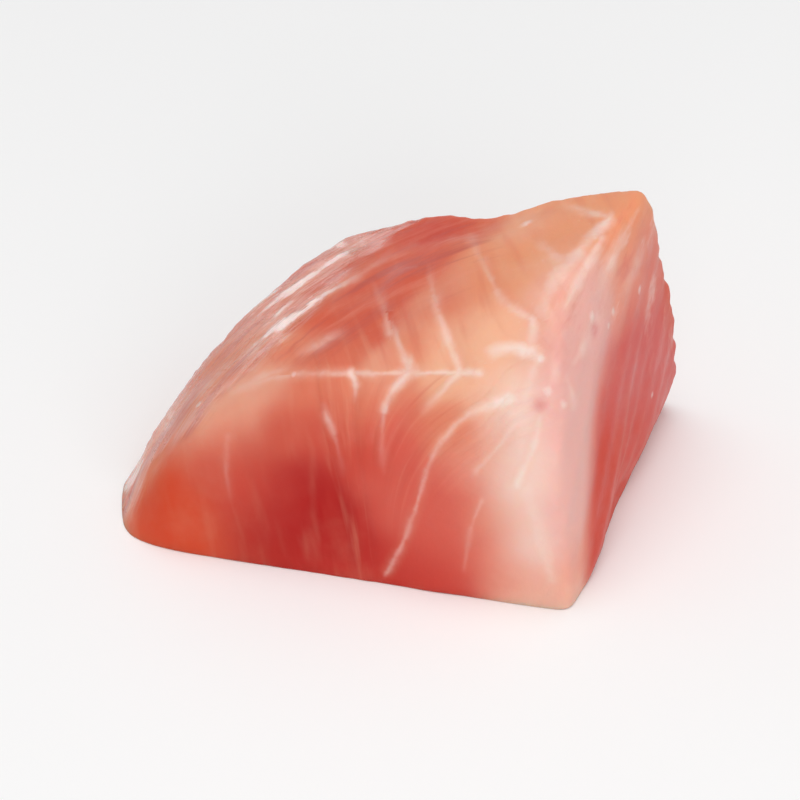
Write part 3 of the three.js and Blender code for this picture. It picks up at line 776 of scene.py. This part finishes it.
def flesh_material():
    m = Nodes("flesh_wet")
    place = m.add("ShaderNodeTexCoord").outputs["Object"]
    flake_at = m.attribute("flake")
    drop = m.attribute("drop")
    pitch = m.attribute("pitch")
    right = m.attribute("on_right")
    band = m.attribute("band")
    shoulder = m.attribute("shoulder")
    rise = m.attribute("lean_rise")
    depth = m.attribute("lean_depth")
    base = m.attribute("tint", "Color")
    not_right = m.math("SUBTRACT", 1.0, right)
    not_band = m.math("SUBTRACT", 1.0, band)

    # Soft mottling of the flesh.
    mottle = m.noise(place, 130.0, 4.0, 0.55)
    fine = m.noise(place, 800.0, 3.0, 0.6)
    base = m.mix(m.ramp(mottle, 0.5, 0.8, 0.0, 0.2), base, colour("red"))
    base = m.mix(m.ramp(mottle, 0.5, 0.2, 0.0, 0.1), base, colour("light_peach"))

    # Muscle fibres: faint streaks that follow the septa on the top and front.
    along = m.vector(
        m.math("MULTIPLY", flake_at, 3.6), m.math("MULTIPLY", drop, 0.1), 0.0
    )
    streak = m.noise(along, 1.0, 2.0, 0.5)
    calm = m.attribute("fibres")
    part = m.add("ShaderNodeSeparateXYZ")
    m.link(m.attribute("arc", "Vector"), part.inputs[0])
    inwards, run, shine = part.outputs
    beside = m.math("MULTIPLY", m.ramp(inwards, 11.0, 6.0), not_band)
    beside = m.math("MULTIPLY", beside, m.attribute("film_reach"))
    beside = m.math("MULTIPLY", beside, m.math("MULTIPLY", m.ramp(rise, 12.0, 15.0), not_right))
    calm = m.math("MULTIPLY", calm, m.math("SUBTRACT", not_band, m.math("MULTIPLY", beside, 0.8)))
    pale = m.math("MULTIPLY", m.ramp(streak, 0.5, 0.8, 0.0, 0.2), calm)
    dark = m.math("MULTIPLY", m.ramp(streak, 0.5, 0.22, 0.0, 0.28), calm)
    base = m.mix(pale, base, colour("light_peach"))
    base = m.mix(dark, base, colour("red"))
    # Painted shade just to the right of each flake step, which also dips the relief.
    step_dip_and_shade = m.attribute("step_dip_and_shade")
    base = m.mix(m.math("MULTIPLY", step_dip_and_shade, 0.5), base, colour("coral"))

    # Septa: thin white lines with a soft glow of paler flesh.
    wobble = m.noise(place, 420.0, 3.0, 0.6)
    ragged = m.noise(place, 1100.0, 3.0, 0.65)
    stray = m.math("MULTIPLY_ADD", wobble, 0.4, -0.2)
    stray = m.math("ADD", stray, m.math("MULTIPLY_ADD", ragged, 0.1, -0.05))
    breaks = m.ramp(m.noise(place, 520.0, 3.0, 0.6), 0.32, 0.58, 0.6, 1.0)
    swell = m.ramp(m.noise(place, 260.0, 2.0, 0.5), 0.3, 0.7, 0.65, 1.6)
    white = 0.0
    halo = 0.0
    for i in range(LAYERS):
        part = m.add("ShaderNodeSeparateXYZ")
        m.link(m.attribute(f"line_{i}", "Vector"), part.inputs[0])
        off, strength, wide = part.outputs
        ratio = m.math("DIVIDE", m.math("ADD", off, stray), m.math("MULTIPLY", wide, swell))
        square = m.math("MULTIPLY", ratio, ratio)
        line = m.math("MULTIPLY", m.math("EXPONENT", m.math("MULTIPLY", square, -1.0)), strength)
        white = m.math("MAXIMUM", line, white)
        glow = m.math("EXPONENT", m.math("MULTIPLY", square, -0.12))
        halo = m.math("MAXIMUM", m.math("MULTIPLY", glow, strength), halo)
    white = m.math("MULTIPLY", white, breaks)
    # On the outer membrane each fold is a bundle of thin strands, sharpened into crisp painted glints.
    strands = m.noise(
        m.vector(
            m.math("MULTIPLY", depth, 0.9),
            m.math("MULTIPLY", run, 0.12),
            m.math("MULTIPLY", inwards, 1.0),
        ),
        1.0,
        2.0,
        0.5,
    )
    strands = m.ramp(strands, 0.34, 0.54, 0.7, 0.0)
    white = m.math("SUBTRACT", white, m.math("MULTIPLY", m.math("MULTIPLY", white, strands), band))
    crisp = m.math("SUBTRACT", m.ramp(white, 0.24, 0.62, 0.0, 0.95), white)
    white = m.math("ADD", white, m.math("MULTIPLY", crisp, m.math("MULTIPLY", band, 0.55)))
    # Away from the drawn lines the septa follow the flakes.
    waver = m.math("MULTIPLY_ADD", m.noise(place, 130.0, 2.0, 0.5), 0.36, -0.18)
    off = m.math("MULTIPLY", m.math("PINGPONG", m.math("ADD", flake_at, waver), 0.5), pitch)
    hidden = m.attribute("hidden_septa")
    hidden = m.math("MULTIPLY", hidden, m.ramp(mottle, 0.35, 0.6, 0.3, 1.0))
    ratio = m.math("DIVIDE", off, m.math("MULTIPLY", swell, 0.3))
    square = m.math("MULTIPLY", ratio, ratio)
    line = m.math("EXPONENT", m.math("MULTIPLY", square, -1.0))
    line = m.math("MULTIPLY", m.math("MULTIPLY", line, breaks), hidden)
    white = m.math("MAXIMUM", white, line)
    glow = m.math("EXPONENT", m.math("MULTIPLY", square, -0.06))
    halo = m.math("MAXIMUM", halo, m.math("MULTIPLY", m.math("MULTIPLY", glow, hidden), 1.6))
    # Painted glints: small soft white spots.
    glint_spot = m.attribute("glint_spot")
    glint_spot = m.ramp(m.math("ADD", glint_spot, m.math("MULTIPLY_ADD", ragged, 0.8, -0.4)), 0.2, 1.0)
    white = m.math("MAXIMUM", white, m.math("MULTIPLY", glint_spot, 0.6))
    base = m.mix(m.math("MULTIPLY", halo, 0.3), base, colour("light_peach"))

    # The cross cut on the right: soft streaks that spread from its top corner.
    part = m.add("ShaderNodeSeparateXYZ")
    m.link(m.attribute("spread", "Vector"), part.inputs[0])
    turn, far, deep = part.outputs
    cut_streak = m.noise(
        m.vector(
            m.math("MULTIPLY", turn, 13.0),
            m.math("MULTIPLY", far, 0.13),
            m.math("MULTIPLY", deep, 0.05),
        ),
        1.0,
        4.0,
        0.62,
    )
    upper = m.ramp(rise, 9.0, 20.0, 0.03, 1.0)
    amount = m.math("MULTIPLY", shoulder, upper)
    base = m.mix(
        m.math("MULTIPLY", m.ramp(cut_streak, 0.52, 0.74, 0.0, 0.5), amount),
        base,
        colour("cream"),
    )
    base = m.mix(
        m.math("MULTIPLY", m.ramp(cut_streak, 0.48, 0.28, 0.0, 0.42), amount),
        base,
        colour("rose"),
    )

    # The outer membrane: long silvery streaks along the upper left edge, partly its own silvery colour
    # and partly painted sheen, and fainter ones of red and pale flesh beside it.
    bend = m.math("MULTIPLY_ADD", m.noise(place, 45.0, 2.0, 0.5), 1.6, -0.8)
    across = m.math("ADD", inwards, bend)
    film = m.noise(
        m.vector(
            m.math("MULTIPLY", across, 0.85),
            m.math("MULTIPLY", run, 0.06),
            m.math("MULTIPLY", depth, 0.22),
        ),
        1.0,
        3.0,
        0.6,
    )
    wisps = m.noise(
        m.vector(
            m.math("MULTIPLY", across, 2.0),
            m.math("MULTIPLY", run, 0.11),
            m.math("MULTIPLY", depth, 0.5),
        ),
        1.0,
        2.0,
        0.5,
    )
    base = m.mix(
        m.math("MULTIPLY", beside, m.ramp(film, 0.5, 0.72, 0.0, 0.3)),
        base,
        colour("blush"),
    )
    base = m.mix(
        m.math("MULTIPLY", m.math("MAXIMUM", band, beside), m.ramp(film, 0.5, 0.3, 0.0, 0.7)),
        base,
        colour("film_gap"),
    )
    silver = m.math("MAXIMUM", m.ramp(film, 0.55, 0.72, 0.0, 0.4), m.ramp(wisps, 0.6, 0.74, 0.0, 0.4))
    silver = m.math("MULTIPLY", m.math("MULTIPLY", silver, band), shine)
    base = m.mix(silver, base, colour("silver"))
    # The white lines: gristle septa, and on the membrane pale strands and painted glints.
    line_colour = m.mix(band, colour("gristle"), colour("film_white"))
    base = m.mix(m.math("MULTIPLY", white, 0.9), base, line_colour)

    # Relief: fibres, septa, the film's folds, and wet unevenness.
    height = m.math("MULTIPLY", m.noise(place, 330.0, 4.0, 0.6), 0.5)
    height = m.math("ADD", height, m.math("MULTIPLY", fine, 0.14))
    height = m.math("ADD", height, m.math("MULTIPLY", m.math("SUBTRACT", pale, dark), 0.5))
    height = m.math("ADD", height, m.math("MULTIPLY", white, 0.35))
    height = m.math("SUBTRACT", height, m.math("MULTIPLY", step_dip_and_shade, 0.8))
    height = m.math("ADD", height, m.math("MULTIPLY", glint_spot, 0.15))
    height = m.math(
        "ADD", height, m.math("MULTIPLY", m.math("MULTIPLY", cut_streak, amount), 1.0)
    )
    folds = m.math("MULTIPLY", m.math("ADD", film, m.math("MULTIPLY", wisps, 0.5)), band)
    height = m.math("ADD", height, m.math("MULTIPLY", folds, 2.0))
    bump = m.add("ShaderNodeBump")
    bump.inputs["Strength"].default_value = 0.55
    bump.inputs["Distance"].default_value = 0.0004
    m.link(height, bump.inputs["Height"])

    shader = m.add("ShaderNodeBsdfPrincipled")
    m.link(base, shader.inputs["Base Color"])
    m.link(bump.outputs[0], shader.inputs["Normal"])
    rough = m.ramp(m.noise(place, 190.0, 3.0, 0.6), 0.3, 0.7, 0.4, 0.58)
    rough = m.math("SUBTRACT", rough, m.math("MULTIPLY", band, 0.2))
    rough = m.math("SUBTRACT", rough, m.math("MULTIPLY", white, 0.12))
    m.link(rough, shader.inputs["Roughness"])
    shader.inputs["IOR"].default_value = 1.36
    shader.inputs["Specular IOR Level"].default_value = 0.35
    shader.inputs["Subsurface Weight"].default_value = 0.7
    shader.inputs["Subsurface Radius"].default_value = (1.0, 0.32, 0.2)
    shader.inputs["Subsurface Scale"].default_value = 0.0018
    wet = m.math("MAXIMUM", m.math("MULTIPLY", band, 0.2), m.math("MULTIPLY", white, 0.35))
    m.link(m.math("ADD", wet, m.ramp(mottle, 0.42, 0.65, 0.0, 0.16)), shader.inputs["Coat Weight"])
    shader.inputs["Coat Roughness"].default_value = 0.12
    shader.inputs["Coat IOR"].default_value = 1.35
    out = m.add("ShaderNodeOutputMaterial")
    m.link(shader.outputs[0], out.inputs["Surface"])
    return m.material


def floor_material():
    m = Nodes("studio_floor")
    shader = m.add("ShaderNodeBsdfPrincipled")
    shader.inputs["Base Color"].default_value = (0.97, 0.97, 0.97, 1)
    shader.inputs["Roughness"].default_value = 0.6
    shader.inputs["Specular IOR Level"].default_value = 0.2
    out = m.add("ShaderNodeOutputMaterial")
    m.link(shader.outputs[0], out.inputs["Surface"])
    return m.material


# ---------------------------------------------------------------------------
# The object
# ---------------------------------------------------------------------------
chunk = build_chunk()
chunk.data.materials.append(flesh_material())
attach(chunk, "root")
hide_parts("fillet_chunk")

# ---------------------------------------------------------------------------
# Floor, light and camera
# ---------------------------------------------------------------------------
bpy.ops.mesh.primitive_plane_add(size=6.0, location=(0, 0, 0))
floor = bpy.context.object
floor.name = "studio_floor"
floor.data.materials.append(floor_material())

scene = bpy.context.scene
scene.view_settings.view_transform = "Standard"
scene.view_settings.look = "None"
scene.view_settings.exposure = 0.0
scene.view_settings.gamma = 1.0
world = bpy.data.worlds.new("studio")
scene.world = world
world.use_nodes = True
background = world.node_tree.nodes["Background"]
background.inputs["Color"].default_value = (1, 1, 1, 1)
background.inputs["Strength"].default_value = 0.45


def area_light(name, place, aim, size, power, tone=(1, 1, 1)):
    data = bpy.data.lights.new(name, "AREA")
    data.shape = "RECTANGLE"
    data.size, data.size_y = size
    data.energy = power
    data.color = tone
    lamp = bpy.data.objects.new(name, data)
    lamp.location = place
    lamp.rotation_euler = (Vector(aim) - Vector(place)).to_track_quat("-Z", "Y").to_euler()
    scene.collection.objects.link(lamp)
    return lamp


AIM = (0.0, 0.0, 0.014)
area_light("key_above", (0.02, -0.03, 0.55), AIM, (0.4, 0.4), 1.5)
area_light("fill_front", (0.12, -0.6, 0.22), AIM, (0.45, 0.3), 1.16)
area_light("rim_back_left", (-0.35, 0.5, 0.07), AIM, (0.45, 0.1), 0.3)

RISE = math.radians(35)
TARGET = (Vector((1.08, -7.47, 16.71)) - Vector(MIDDLE)) * MM
camera_data = bpy.data.cameras.new("camera")
camera_data.sensor_width = 36.0
camera_data.lens = 247.5
camera_data.clip_start = 0.01
camera_data.clip_end = 20.0
camera = bpy.data.objects.new("camera", camera_data)
camera.location = TARGET + Vector((0, -math.cos(RISE), math.sin(RISE))) * 0.55
camera.rotation_euler = (math.radians(90) - RISE, 0, 0)
scene.collection.objects.link(camera)
scene.camera = camera
